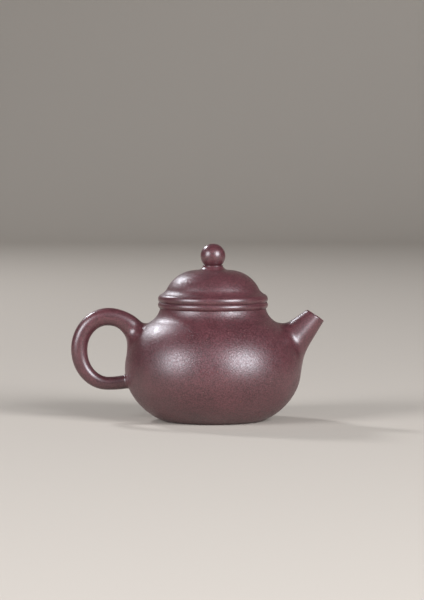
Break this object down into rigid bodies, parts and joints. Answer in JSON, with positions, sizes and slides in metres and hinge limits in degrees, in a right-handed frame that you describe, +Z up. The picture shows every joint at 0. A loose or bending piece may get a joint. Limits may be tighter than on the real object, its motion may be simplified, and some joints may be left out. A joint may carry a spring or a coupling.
{
  "type": "teapot",
  "caption": "Round unglazed clay teapot with a short straight spout, an ear-shaped loop handle, a strainer behind the spout and a domed lid with a ball knob that lifts out.",
  "frame": {"origin": "centre of the foot ring, on the surface that the pot stands on", "axes": "+Z up along the pot's axis, +X along the spout, so the handle lies along -X"},
  "size_m": [0.1303, 0.0908, 0.091],
  "materials": {
    "clay": "unglazed purple-brown stoneware, burnished to a fine satin grain"
  },
  "bodies": {
    "pot": {"base_disc": "clay", "belly_wall": "clay", "shoulder_wall": "clay", "neck_ring": "clay", "mouth_rim": "clay", "spout": "clay", "strainer_dome": "clay", "handle": "clay"},
    "lid": {"lid_dome": "clay", "lid_rim": "clay", "lid_flange": "clay", "knob_collar": "clay", "knob": "clay"}
  },
  "joints": [
    {"name": "lid_lift", "type": "slide", "parent": "pot", "child": "lid", "axis": [0, 0, 1], "range_m": [0, 0.06]}
  ]
}
